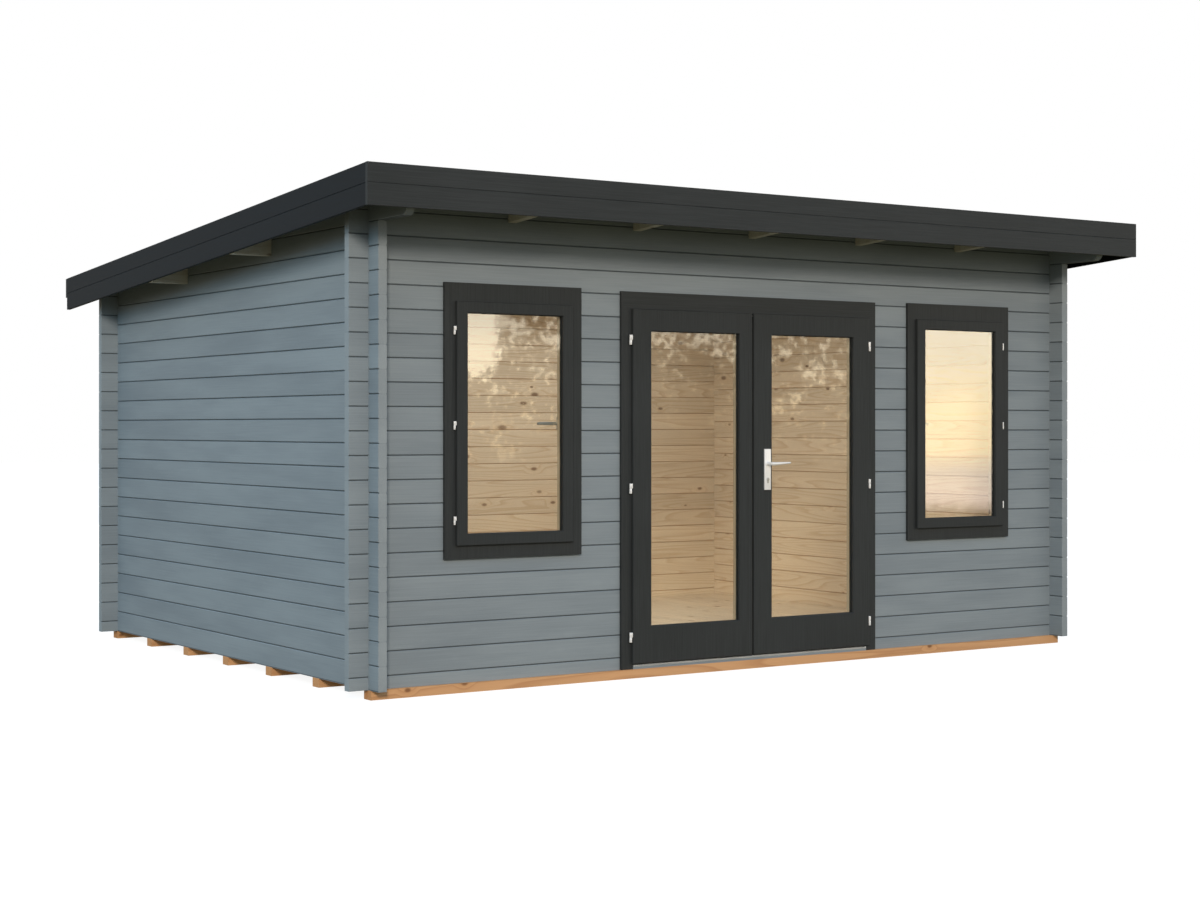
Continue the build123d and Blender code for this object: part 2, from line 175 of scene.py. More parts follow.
def srgb(red, green, blue):  # paint card numbers, 0 to 255, to linear light
    return tuple(((c / 255 + 0.055) / 1.055) ** 2.4 if c > 10 else c / 3294 for c in (red, green, blue))


# Timber: rings are contours of a long noise, so they arch as on sawn boards, and knots push them aside
def timber(f, along, across, deep, pick, tone):
    side = across + deep * 0.7
    alongPitch, acrossPitch = tone["knotPitch"]
    knotAt = f.vector(along * alongPitch + pick * 37, side * acrossPitch + pick * 53, 0.0)
    settings = {"voronoi_dimensions": "2D"}
    sockets = {"Vector": knotAt, "Scale": 1.0}
    reach, chance = f.add("ShaderNodeTexVoronoi", settings, sockets, ("Distance", "Color"))
    few, size, dark = f.add("ShaderNodeSeparateXYZ", {}, {0: chance}, ("X", "Y", "Z"))
    kept = few < tone["knots"]
    radius = size * tone["knotSize"] + tone["knotSize"] * 0.45
    knotty = kept * (1 - f.ease(reach / radius, 0.35, 1.05))
    halo = kept * (1 - f.ease(reach / radius, 0.9, 3.2))
    field = f.noise(f.vector(along * 0.5, across * 8 + pick * 61, deep * 8 + pick * 29), 1.0, 1.5, 0.4)
    rings = (field * tone["rings"] + halo * 0.9).fract()
    fibre = f.noise(f.vector(along * 5, across * 420 + pick * 91, deep * 420), 1.0, 2.0, 0.6)
    cloud = f.noise(f.vector(along * 0.9, across * 5 + pick * 17, deep * 5), 1.0, 2.0, 0.5)
    late = f.ramp(rings, [(0.0, (0.15,) * 3), (0.55, (0.3,) * 3), (0.9, (1,) * 3), (1.0, (0.1,) * 3)])
    colour = f.tint(late * tone["ringShare"] + (fibre - 0.5) * 0.3, tone["light"], tone["late"])
    colour = f.tint(halo * 0.3, colour, tone["halo"])
    colour = f.tint(knotty * (dark * 0.35 + 0.6), colour, tone["knot"])
    colour = f.shade(colour, pick * tone["spread"] + cloud * 0.24 + (0.88 - tone["spread"] / 2))
    height = fibre * 0.5 + rings * 0.3 + knotty * 0.6
    return colour, height


pine = {
    "light": srgb(234, 215, 188), "late": srgb(206, 175, 138),
    "halo": srgb(226, 196, 158), "knot": srgb(122, 82, 50),
    "rings": 17.0, "ringShare": 0.7, "knots": 0.15, "knotSize": 0.12, "knotPitch": (3.6, 7.2), "spread": 0.12,
}
treated = {
    "light": srgb(204, 158, 114), "late": srgb(172, 124, 84),
    "halo": srgb(192, 142, 96), "knot": srgb(110, 70, 42),
    "rings": 9.0, "ringShare": 0.7, "knots": 0.3, "knotSize": 0.07, "knotPitch": (3.0, 7.0), "spread": 0.1,
}
# pine for the roof timber, toned greyer and bluer as it looks in the cool shade under the roof: a painted shade
paintedShadePine = {
    "light": srgb(202, 200, 188), "late": srgb(180, 173, 154),
    "halo": srgb(196, 191, 174), "knot": srgb(104, 86, 62),
    "rings": 12.0, "ringShare": 0.5, "knots": 0.26, "knotSize": 0.08, "knotPitch": (3.4, 6.0), "spread": 0.1,
}

logs = {
    "pitch": 0.114, "frontLift": 0.105, "sideLift": 0.162,
    "room": (2.228, 1.628),  # the middle of the wall's thickness: bare pine inside, paint outside
    "paint": srgb(134, 144, 150), "paintDeep": srgb(119, 129, 136), "joint": srgb(60, 68, 73),
    "bareJoint": srgb(170, 124, 84), "sawnEnd": srgb(152, 158, 160),
}


def logFinish(name, along, lift):
    f = newFinish(name)
    x, y, z = f.spot()
    nx, ny, nz = f.facing()
    run, deep, endOn = (x, y, abs(nx)) if along == "x" else (y, x, abs(ny))
    course = (z - lift) / logs["pitch"]
    pick = f.lottery(course.floor() + 7)
    fromJoint = (0.5 - abs(course.fract() - 0.5)) * logs["pitch"]
    inside = (abs(x) < logs["room"][0]) * (abs(y) < logs["room"][1])
    line = (1 - f.ease(fromJoint, 0.0008, 0.0032)) * (1 - (endOn > 0.8) * 0.85)
    bare, grain = timber(f, run, z, deep, pick, pine)
    bare = f.tint((1 - f.ease(fromJoint, 0.0008, 0.0036)) * 0.7, bare, logs["bareJoint"])
    brush = f.noise(f.vector(run * 3, z * 160, deep * 160), 1.0, 3.0, 0.6)
    mottle = f.noise(f.vector(run * 1.3, z * 6 + pick * 40, deep * 6), 1.0, 2.0, 0.5)
    paint = f.tint(f.ease(mottle * 0.6 + brush * 0.4, 0.3, 0.7), logs["paintDeep"], logs["paint"])
    paint = f.shade(paint, pick * 0.06 + grain * 0.05 + 0.94)
    paint = f.tint((endOn > 0.8) * 0.25, paint, logs["sawnEnd"])
    paint = f.tint(line * 0.8, paint, logs["joint"])
    colour = f.tint(inside, paint, bare)
    height = grain * (inside * 0.5 + 0.5) + brush * 0.3 - line * 1.2
    rough = 0.5 + inside * 0.14 + brush * 0.1
    return f.skin(Base_Color=colour, Roughness=rough, Normal=f.relief(height, 0.0006, 0.6))


charcoal = {"base": srgb(50, 53, 54), "deep": srgb(39, 42, 43), "inside": (2.2, -1.6495)}


def charcoalFinish(name, along, paintedShade=(1.0, 1.0, 1.0), gloss=0.3):
    f = newFinish(name)
    x, y, z = f.spot()
    run, first, second = {"x": (x, y, z), "y": (y, x, z), "z": (z, x, y)}[along]
    fibre = f.noise(f.vector(run * 4, first * 190, second * 190), 1.0, 3.0, 0.6)
    field = f.noise(f.vector(run * 0.6, first * 9, second * 9), 1.0, 1.5, 0.4)
    rings = (field * 14).fract()
    cloud = f.noise(f.vector(x, y, z), 2.2, 2.0, 0.5)
    colour = f.tint(f.ease(fibre * 0.7 + cloud * 0.3, 0.3, 0.7), charcoal["deep"], charcoal["base"])
    # a painted shade: the paint colour is multiplied by a darker tint where the boards stand in cooler, dimmer
    # light
    colour = f.tint(1.0, colour, paintedShade, "MULTIPLY")
    halfRoom, paintEdge = charcoal["inside"]
    room = (abs(x) < halfRoom) * (y > paintEdge) * (y < 0)  # bare pine on what faces the room
    nx, ny, nz = f.facing()
    bare = timber(f, run, first, second, f.lottery((first / 0.3).floor()), pine)[0]
    # painted shade: the pine faces that turn away from the pane's direction, the reveals, are darkened as if
    # they lay in shade
    bare = f.shade(bare, 1 - (abs(ny) < 0.5) * 0.35)
    colour = f.tint(room, colour, bare)
    rough = 0.46 + fibre * 0.12 + cloud * 0.06
    grain = f.relief(fibre * 0.6 + rings * 0.25, 0.0004, 0.5)
    return f.skin(Base_Color=colour, Roughness=rough, Specular_IOR_Level=gloss, Normal=grain)


def plankFinish(name, along, width, tone):
    f = newFinish(name)
    x, y, z = f.spot()
    run, across, deep = (x, y, z) if along == "x" else (y, x, z)
    pick = f.lottery((across / width).floor() + 11)
    colour, height = timber(f, run, across, deep, pick, tone)
    return f.skin(Base_Color=colour, Roughness=0.55 + height * 0.12, Normal=f.relief(height, 0.0006, 0.6))


bearerRows = {"spacing": 3.282 / 6, "first": -1.641, "ringPitch": 0.0055}


def bearerFinish():
    f = newFinish("treatedBearer")
    x, y, z = f.spot()
    nx, ny, nz = f.facing()
    row = (y - bearerRows["first"]) / bearerRows["spacing"] + 0.5
    pick = f.lottery(row.floor() + 3)
    colour, height = timber(f, x, y, z, pick, treated)
    fromPith = ((row.fract() - 0.42) * bearerRows["spacing"]) ** 2 + (z + 0.02) ** 2
    rings = (fromPith ** 0.5 / bearerRows["ringPitch"]).fract()
    sawn = f.tint(rings * 0.6, srgb(206, 152, 104), srgb(168, 114, 70))
    colour = f.tint(abs(nx) > 0.8, colour, sawn)
    return f.skin(Base_Color=colour, Roughness=0.68 + height * 0.1, Normal=f.relief(height, 0.0007, 0.7))


def feltFinish():
    f = newFinish("roofFelt")
    x, y, z = f.spot()
    at = f.vector(x, y, z)
    grit = f.noise(at, 900.0, 2.0, 0.7)
    patch = f.noise(at, 1.4, 3.0, 0.6)
    colour = f.tint(f.ease(grit, 0.3, 0.72), srgb(40, 42, 44), srgb(92, 95, 97))
    colour = f.shade(colour, patch * 0.3 + 0.8)
    return f.skin(Base_Color=colour, Roughness=0.85 + grit * 0.1, Normal=f.relief(grit, 0.0008, 0.8))


def metalFinish(name, light, dark, rough, along, metal=1.0):
    f = newFinish(name)
    x, y, z = f.spot()
    stretch = {"x": (40, 2500, 2500), "y": (2500, 40, 2500), "z": (2500, 2500, 40)}[along]
    brushed = f.noise(f.vector(x * stretch[0], y * stretch[1], z * stretch[2]), 1.0, 2.0, 0.6)
    cloud = f.noise(f.vector(x, y, z), 35.0, 2.0, 0.5)
    colour = f.tint(f.ease(brushed, 0.3, 0.7), dark, light)
    roughness = rough + brushed * 0.12 + cloud * 0.06
    grain = f.relief(brushed, 0.00005, 0.4)
    return f.skin(Base_Color=colour, Metallic=metal, Roughness=roughness, Normal=grain)


def rubberFinish():
    f = newFinish("blackRubber")
    x, y, z = f.spot()
    cloud = f.noise(f.vector(x, y, z), 60.0, 2.0, 0.5)
    colour = f.tint(f.ease(cloud, 0.3, 0.7), srgb(24, 25, 26), srgb(34, 35, 36))
    return f.skin(Base_Color=colour, Roughness=0.6 + cloud * 0.15, Normal=f.relief(cloud, 0.0001, 0.3))


glazing = {"tint": (0.95, 0.97, 0.955), "mirror": 0.085}


def glassFinish():
    f = newFinish("clearPane")
    x, y, z = f.spot()
    film = f.noise(f.vector(x, y, z), 6.0, 3.0, 0.5)
    slant = f.add("ShaderNodeLayerWeight", {}, {"Blend": 0.5}, "Facing")
    mirror = glazing["mirror"] + (1 - glazing["mirror"]) * slant ** 5 + film * 0.01
    through = f.add("ShaderNodeBsdfTransparent", {}, {"Color": (*glazing["tint"], 1)})
    gloss = f.add("ShaderNodeBsdfPrincipled", {}, {
        "Base Color": (0.97, 0.98, 0.98, 1), "Metallic": 1.0, "Roughness": film * 0.02 + 0.005,
    })
    f.show(f.add("ShaderNodeMixShader", {}, {0: mirror, 1: through, 2: gloss}))
    return f.owner


def dress(finish, *names):
    for name in names:
        mesh = nodes[name].data
        mesh.materials.clear()
        mesh.materials.append(finish)


frontLogs = logFinish("frontLogs", "x", logs["frontLift"])
sideLogs = logFinish("sideLogs", "y", logs["sideLift"])
paintAlongX = charcoalFinish("charcoalAlongX", "x")
# the side fascias get a painted shade: a darker, bluer tint than the front fascias, for the cool light on the
# sides, and less gloss
paintAlongYPaintedShade = charcoalFinish("charcoalAlongYPaintedShade", "y", (0.4, 0.45, 0.53), 0.14)
paintUpright = charcoalFinish("charcoalUpright", "z")
roofPine = plankFinish("roofPine", "x", 0.5, paintedShadePine)
boardPine = plankFinish("boardPine", "y", 0.1, paintedShadePine)
floorPine = plankFinish("floorPine", "y", 0.1097, pine)
felt = feltFinish()
chrome = metalFinish("hingeChrome", (0.96, 0.96, 0.95), (0.86, 0.87, 0.88), 0.3, "z", 0.3)
steel = metalFinish("handleSteel", (0.95, 0.95, 0.94), (0.82, 0.83, 0.84), 0.28, "z", 0.25)
aluminium = metalFinish("sillAluminium", (0.56, 0.57, 0.58), (0.44, 0.45, 0.46), 0.42, "x")
clearPane = glassFinish()
cylinderSteel = metalFinish("lockSteel", (0.62, 0.62, 0.6), (0.48, 0.48, 0.47), 0.3, "y")
rubber = rubberFinish()
greyBar = metalFinish("windowHandleGrey", (0.5, 0.51, 0.52), (0.4, 0.41, 0.42), 0.36, "x")

wallParts = ("corner_pier", "under_window", "beside_door")
dress(frontLogs, "front_wall_over_openings", "back_wall", "door_sill")
dress(frontLogs, *[f"front_wall_{side}_{part}" for side in ("left", "right") for part in wallParts])
dress(sideLogs, "left_wall", "right_wall", "left_top_log", "right_top_log")
dress(paintAlongX, "front_fascia_upper", "front_fascia_lower", "back_fascia", "door_head")
dress(paintAlongYPaintedShade, *[f"{side}_fascia_{part}" for side in ("left", "right") for part in ("upper", "lower")])
dress(paintUpright, *[f"{side}_{part}" for side in ("left", "right")
                      for part in ("window_frame", "window_sash", "door_jamb", "door_leaf")])
dress(bearerFinish(), "bearers")
dress(roofPine, "purlins", "eave_rafters")
dress(clearPane, "window_glass", "left_door_glass", "right_door_glass")
print("finishes on", len(nodes), "nodes")


tiny = 0.0004
edgeRound = 0.0006  # the softened edge of small metal parts
longEdge = 1.0
quarter = math.pi / 2
lying = {"x": (0, quarter, 0), "y": (quarter, 0, 0), "z": (0, 0, 0)}


def placeApplied():  # the new primitive's place goes into its mesh
    bpy.ops.object.transform_apply(location=True, rotation=True, scale=True)
    return bpy.context.object


def startBlock(low, high):  # a block from corner to corner
    bpy.ops.object.select_all(action="DESELECT")
    middle = [(a + b) / 2 for a, b in zip(low, high)]
    bpy.ops.mesh.primitive_cube_add(size=1, location=middle, scale=[b - a for a, b in zip(low, high)])
    return placeApplied()


def startRod(radius, low, length, along, sides=24):  # a round bar from the middle of its low end
    bpy.ops.object.select_all(action="DESELECT")
    middle = Vector(low)
    middle["xyz".index(along)] += length / 2
    bpy.ops.mesh.primitive_cylinder_add(
        vertices=sides, radius=radius, depth=length, location=middle, rotation=lying[along])
    return placeApplied()


# Edit mode with those points, edges or faces selected whose lowest and highest corner pass the test
def choose(piece, kind, test):
    bpy.ops.object.mode_set(mode="OBJECT")
    bpy.ops.object.select_all(action="DESELECT")
    piece.select_set(True)
    bpy.context.view_layer.objects.active = piece
    mesh = piece.data
    groups = {"points": mesh.vertices, "edges": mesh.edges, "faces": mesh.polygons}
    for group in groups.values():
        group.foreach_set("select", [False] * len(group))
    bpy.context.tool_settings.mesh_select_mode = [kind == name for name in groups]
    for item in groups[kind]:
        ends = [mesh.vertices[i].co for i in ([item.index] if kind == "points" else item.vertices)]
        low, high = (Vector([end(p[i] for p in ends) for i in range(3)]) for end in (min, max))
        item.select = test(low, high)
    bpy.ops.object.mode_set(mode="EDIT")


def bevel(piece, test, width, rounds=2):
    choose(piece, "edges", test)
    bpy.ops.mesh.bevel(offset=width, segments=rounds, affect="EDGES")
    bpy.ops.object.mode_set(mode="OBJECT")


def push(piece, test, shift):
    choose(piece, "points", test)
    bpy.ops.transform.translate(value=shift)
    bpy.ops.object.mode_set(mode="OBJECT")


def drawOut(piece, test, shift):  # faces that pass are extruded
    choose(piece, "faces", test)
    bpy.ops.mesh.extrude_region_move(TRANSFORM_OT_translate={"value": shift})
    bpy.ops.object.mode_set(mode="OBJECT")


def everything(low, high):
    return True


def weld(*parts):  # several meshes in one object
    bpy.ops.object.select_all(action="DESELECT")
    for part in parts:
        part.select_set(True)
    bpy.context.view_layer.objects.active = parts[0]
    bpy.ops.object.join()
    return bpy.context.object


def twin(piece, shift=(0, 0, 0), flip=False):  # a copy with its own mesh, moved or mirrored across the middle
    bpy.ops.object.select_all(action="DESELECT")
    piece.select_set(True)
    bpy.context.view_layer.objects.active = piece
    bpy.ops.object.duplicate()
    other = bpy.context.object
    other.location = shift
    other.scale = (-1 if flip else 1, 1, 1)
    return placeApplied()


def repeat(piece, count, step):
    bpy.context.view_layer.objects.active = piece
    bpy.ops.object.modifier_add(type="ARRAY")
    rows = piece.modifiers[-1]
    rows.count = count
    rows.use_relative_offset = False
    rows.use_constant_offset = True
    rows.constant_offset_displace = step
    bpy.ops.object.modifier_apply(modifier=rows.name)


def cutOut(piece, tool):
    bpy.context.view_layer.objects.active = piece
    bpy.ops.object.modifier_add(type="BOOLEAN")
    cut = piece.modifiers[-1]
    cut.operation = "DIFFERENCE"
    cut.object = tool
    bpy.ops.object.modifier_apply(modifier=cut.name)
    bpy.data.objects.remove(tool)


def settle(piece, name, finish, body="cabin", standsFor=(), smooth=40):
    choose(piece, "faces", everything)
    bpy.ops.mesh.normals_make_consistent(inside=False)
    bpy.ops.object.mode_set(mode="OBJECT")
    bpy.ops.object.shade_smooth_by_angle(angle=math.radians(smooth))
    piece.name = piece.data.name = name
    piece.data.materials.clear()
    piece.data.materials.append(finish)
    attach(piece, body)
    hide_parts(*standsFor)


floorBoards = {"count": 40, "joint": 0.0022, "slit": 0.0004}


def makeFloorBoards():
    low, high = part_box("floor")
    width = (high.x - low.x) / floorBoards["count"]
    board = startBlock(low, (low.x + width - floorBoards["slit"], high.y, high.z))
    bevel(board, lambda a, b: a.z > high.z - tiny and b.y - a.y > longEdge, floorBoards["joint"], 1)
    repeat(board, floorBoards["count"], (width, 0, 0))
    settle(board, "floorBoards", floorPine, standsFor=["floor"], smooth=20)


roofBoards = {"count": 50, "thick": 0.019, "joint": 0.004, "slit": 0.0004, "pitch": math.radians(4)}


def makeRoofBoards():
    low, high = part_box("roof_deck")
    width = (high.x - low.x) / roofBoards["count"]
    fall = (high.y - low.y) * math.tan(roofBoards["pitch"])
    corner = (low.x, low.y, high.z - roofBoards["thick"])
    board = startBlock(corner, (low.x + width - roofBoards["slit"], high.y, high.z))
    bevel(board, lambda a, b: b.z < high.z - tiny and b.y - a.y > longEdge, roofBoards["joint"], 1)
    push(board, lambda a, b: a.y > 0, (0, 0, -fall))
    repeat(board, roofBoards["count"], (width, 0, 0))
    settle(board, "roofBoards", boardPine, standsFor=["roof_deck"], smooth=20)


roofStrips = {
    "count": 4, "lap": 0.09, "step": 0.015, "thick": 0.002, "nailPitch": 0.1, "nailInset": 0.03,
    "nailFromEnd": 0.05, "nailRadius": 0.005, "nailHead": 0.0012, "nailRound": 0.0005,
}


def makeNails(left, right, y, z):  # a row of flat heads
    fromEnd, head, pitch = (roofStrips[key] for key in ("nailFromEnd", "nailHead", "nailPitch"))
    nails = startRod(roofStrips["nailRadius"], (left + fromEnd, y, z), head, "z", 8)
    bevel(nails, lambda a, b: a.z > z + head - tiny, roofStrips["nailRound"], 1)
    repeat(nails, int((right - left - 2 * fromEnd) / pitch) + 1, (pitch, 0, 0))
    return nails


# Felt strips laid flat at the ridge height, each lapped over the one behind and nailed there, then tipped
def makeRoofFelt():
    low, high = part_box("roof_covering")
    thick, lap, step = roofStrips["thick"], roofStrips["lap"], roofStrips["step"]
    depth = (high.y - low.y) / math.cos(roofBoards["pitch"])
    wide = (depth + lap * (roofStrips["count"] - 1)) / roofStrips["count"]
    parts = []
    for row in range(roofStrips["count"]):
        back = low.y + depth - row * (wide - lap)
        rise = thick if row else 0
        under = high.z - 2 * thick + rise
        strip = startBlock((low.x, back - lap, under), (high.x, back, under + thick))
        drawOut(strip, lambda a, b: b.y < back - lap + tiny, (0, -step, -rise))
        drawOut(strip, lambda a, b: b.y < back - lap - step + tiny, (0, lap + step - wide, 0))
        parts.append(strip)
        if row:
            parts.append(makeNails(low.x, high.x, back - roofStrips["nailInset"], high.z))
    roof = weld(*parts)
    front = Vector((0, low.y, high.z))
    roof.matrix_world = (Matrix.Translation(front) @ Matrix.Rotation(-roofBoards["pitch"], 4, "X")
                         @ Matrix.Translation(-front))
    bpy.ops.object.transform_apply(location=True, rotation=True, scale=True)
    settle(roof, "roofFelt", felt, standsFor=["roof_covering"], smooth=30)


doorFurniture = {
    "faces": (-1.684, -1.628), "axis": (0.073, 1.071),
    "plate": (0.041, 0.933, 1.148, 0.008), "plateRound": 0.0016,  # width, bottom, top, thickness
    "collar": (0.0125, 0.004), "collarRound": 0.0015, "seat": 0.001, "bore": (0.02, 0.05),
    "neck": 0.0085, "reach": 0.05, "bend": 0.016, "grip": 0.118, "squeeze": 0.82, "tipRound": 0.0028,
    # each stretch of the grip: its share of the length, and how far it thins and lowers
    "stretches": ((0.12, 0.65 / 0.82, 0.97), (0.44, 0.96, 0.75), (0.44, 0.92, 0.53 / 0.7275)),
    "spindle": (0.004, 0.01),
}


def makePlate(face, out):
    x, z = doorFurniture["axis"]
    width, bottom, top, thick = doorFurniture["plate"]
    outer = face + out * thick
    low, high = sorted((face, outer))
    plate = startBlock((x - width / 2, low, bottom), (x + width / 2, high, top))
    bevel(plate, lambda a, b: min(abs(a.y - outer), abs(b.y - outer)) < tiny, doorFurniture["plateRound"], 3)
    (radius, proud), seat = doorFurniture["collar"], doorFurniture["seat"]
    crown = outer + out * proud
    collar = startRod(radius, (x, min(outer - out * seat, crown), z), proud + seat, "y", 32)
    bevel(collar, lambda a, b: max(abs(a.y - crown), abs(b.y - crown)) < tiny, doorFurniture["collarRound"], 3)
    before, length = doorFurniture["bore"]
    for part in (plate, collar):
        cutOut(part, startRod(doorFurniture["neck"] + tiny, (x, low - before, z), length, "y", 32))
    return weld(plate, collar)


def makeGrip(face, out):
    x, z = doorFurniture["axis"]
    radius, bend = doorFurniture["neck"], doorFurniture["bend"]
    straight = doorFurniture["reach"] - bend
    bpy.ops.object.select_all(action="DESELECT")
    bpy.ops.mesh.primitive_circle_add(
        vertices=24, radius=radius, fill_type="NGON", location=(x, face, z), rotation=lying["y"])
    grip = placeApplied()
    choose(grip, "faces", everything)
    bpy.ops.mesh.extrude_region_move(TRANSFORM_OT_translate={"value": (0, out * straight, 0)})
    turn = (x + bend, face + out * straight, z)
    bpy.ops.mesh.spin(steps=8, angle=out * quarter, center=turn, axis=(0, 0, 1))
    place = Vector((x + bend, face + out * doorFurniture["reach"], z))
    bpy.ops.transform.resize(value=(1, doorFurniture["squeeze"], 1), center_override=place)
    length = doorFurniture["grip"] - bend
    for share, thin, low in doorFurniture["stretches"]:
        bpy.ops.mesh.extrude_region_move(TRANSFORM_OT_translate={"value": (length * share, 0, 0)})
        bpy.ops.transform.resize(value=(1, thin, low), center_override=place + Vector((0, 0, radius)))
    bpy.ops.mesh.bevel(offset=doorFurniture["tipRound"], segments=4, affect="EDGES")
    bpy.ops.mesh.select_all(action="SELECT")
    bpy.ops.mesh.remove_doubles(threshold=0.00002)
    bpy.ops.object.mode_set(mode="OBJECT")
    return grip


lock = {
    "height": 0.989, "plug": 0.0085, "plugRound": 0.0008, "proud": 0.0035, "seat": 0.001,
    "body": (0.005, 0.0205), "bodyRound": 0.0048, "slot": (0.001, 0.0045), "slotFloor": 0.0012, "overrun": 0.01,
}


def makeCylinder():  # a round plug over a narrow body, with a key slot
    x, z = doorFurniture["axis"][0], lock["height"]
    face = doorFurniture["faces"][0] - doorFurniture["plate"][3]
    front, back = face - lock["proud"], face + lock["seat"]
    plug = startRod(lock["plug"], (x, front, z), back - front, "y", 28)
    bevel(plug, lambda a, b: b.y < front + tiny, lock["plugRound"], 2)
    half, drop = lock["body"]
    body = startBlock((x - half, front, z - drop), (x + half, back, z))
    bevel(body, lambda a, b: b.z < z - drop + tiny and b.y - a.y > lock["proud"], lock["bodyRound"], 6)
    bevel(body, lambda a, b: b.y < front + tiny, edgeRound, 1)
    half, rise = lock["slot"]
    start, floor = face - lock["overrun"], face - lock["slotFloor"]
    cutOut(plug, startBlock((x - half, start, z - rise), (x + half, floor, z + rise)))
    settle(weld(plug, body), "lockCylinder", cylinderSteel, "right_door")


def makeDoorFurniture():
    x, z = doorFurniture["axis"]
    outer, inner = doorFurniture["faces"]
    plates = weld(makePlate(outer, -1), makePlate(inner, 1))
    settle(plates, "handlePlates", steel, "right_door", ["handle_plates"])
    half, past = doorFurniture["spindle"]
    spindle = startBlock((x - half, outer - past, z - half), (x + half, inner + past, z + half))
    bevel(spindle, lambda a, b: b.y - a.y > inner - outer, edgeRound, 1)
    lever = weld(makeGrip(outer, -1), makeGrip(inner, 1), spindle)
    settle(lever, "leverHandle", steel, "door_lever", ["door_lever"], 50)
    makeCylinder()


doorHinges = {
    "axis": (-0.792, -1.676), "radius": 0.007, "half": 0.025, "rows": (0.206, 0.954, 1.702), "slit": 0.0003,
    "lipEdge": -0.782, "casing": -1.666, "tab": 0.004, "roundShare": 0.16,
}
windowHinges = {
    "axis": (-1.805, -1.674), "radius": 0.005, "half": 0.02, "rows": (0.819, 1.271, 1.723), "slit": 0.0,
    "lipEdge": -1.797, "casing": -1.666, "tab": 0.004, "roundShare": 0.16,
}


def makeKnuckle(kit, low, high):
    x, y = kit["axis"]
    knuckle = startRod(kit["radius"], (x, y, low), high - low, "z", 20)
    bevel(knuckle, lambda a, b: b.z - a.z < tiny, kit["radius"] * kit["roundShare"], 2)
    return knuckle


def makeTab(low, high):
    tab = startBlock(low, high)
    bevel(tab, lambda a, b: b.z - a.z < tiny, edgeRound, 1)
    return tab


def makeHingeHalves(kit):  # the half on the leaf above, the half on the casing below
    x, y = kit["axis"]
    middle, tab = kit["rows"][0], kit["tab"]
    top, bottom, start = middle + kit["half"], middle - kit["half"], middle + kit["slit"]
    upper = weld(makeKnuckle(kit, start, top), makeTab((x, y - tab, start), (kit["lipEdge"], y, top)))
    lower = weld(makeKnuckle(kit, bottom, middle),
                 makeTab((x - tab / 2, y, bottom), (x + tab / 2, kit["casing"], middle)))
    rises = [row - middle for row in kit["rows"][1:]]
    return [weld(half, *[twin(half, (0, 0, rise)) for rise in rises]) for half in (upper, lower)]


def makeHinges():
    leafHalf, frameHalf = makeHingeHalves(doorHinges)
    otherLeaf = twin(leafHalf, flip=True)
    frameHalf = weld(frameHalf, twin(frameHalf, flip=True))
    settle(frameHalf, "doorHingePins", chrome, "cabin", ["door_hinge_pins"])
    settle(leafHalf, "leftDoorHinges", chrome, "left_door", ["left_door_hinges"])
    settle(otherLeaf, "rightDoorHinges", chrome, "right_door", ["right_door_hinges"])
    side = weld(*makeHingeHalves(windowHinges))
    bothSides = weld(side, twin(side, flip=True))
    settle(bothSides, "windowHinges", chrome, "cabin", ["window_hinges"])


doorStrip = {
    "thick": 0.010, "round": 0.002, "upstand": 0.012, "upstandInset": 0.02,
    "ribs": 7, "ribPitch": 0.0075, "ribWide": 0.0035, "ribHigh": 0.0014,
    "ribInset": (0.004, 0.005), "ribRound": 0.0007,
}


def makeThreshold():
    low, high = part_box("threshold")
    top = low.z + doorStrip["thick"]
    plate = startBlock(low, (high.x, high.y, top))
    bevel(plate, lambda a, b: b.y < low.y + tiny and a.z > top - tiny, doorStrip["round"], 3)
    inset = doorStrip["upstandInset"]
    corner = (low.x + inset, high.y - doorStrip["upstand"], top - tiny)
    lip = startBlock(corner, (high.x - inset, high.y, high.z))
    bevel(lip, lambda a, b: a.z > high.z - tiny and b.x - a.x > longEdge, doorStrip["round"], 3)
    fromEnd, fromFront = doorStrip["ribInset"]
    ribLow = Vector((low.x + fromEnd, low.y + fromFront, top - tiny))
    ribHigh = (high.x - fromEnd, ribLow.y + doorStrip["ribWide"], ribLow.z + doorStrip["ribHigh"])
    rib = startBlock(ribLow, ribHigh)
    bevel(rib, lambda a, b: a.z > ribLow.z + tiny and b.x - a.x > longEdge, doorStrip["ribRound"], 1)
    repeat(rib, doorStrip["ribs"], (0, doorStrip["ribPitch"], 0))
    settle(weld(plate, lip, rib), "doorThreshold", aluminium, "cabin", ["threshold"], 30)


gaskets = {"width": 0.0025, "proud": 0.0016, "round": 0.0008, "faces": (-1.668, -1.664)}
paneCorners = {
    "window": ((-1.737, 0.754), (-1.199, 1.807)),
    "leftDoor": ((-0.669, 0.257), (-0.108, 1.748)), "rightDoor": ((0.107, 0.257), (0.669, 1.748)),
}


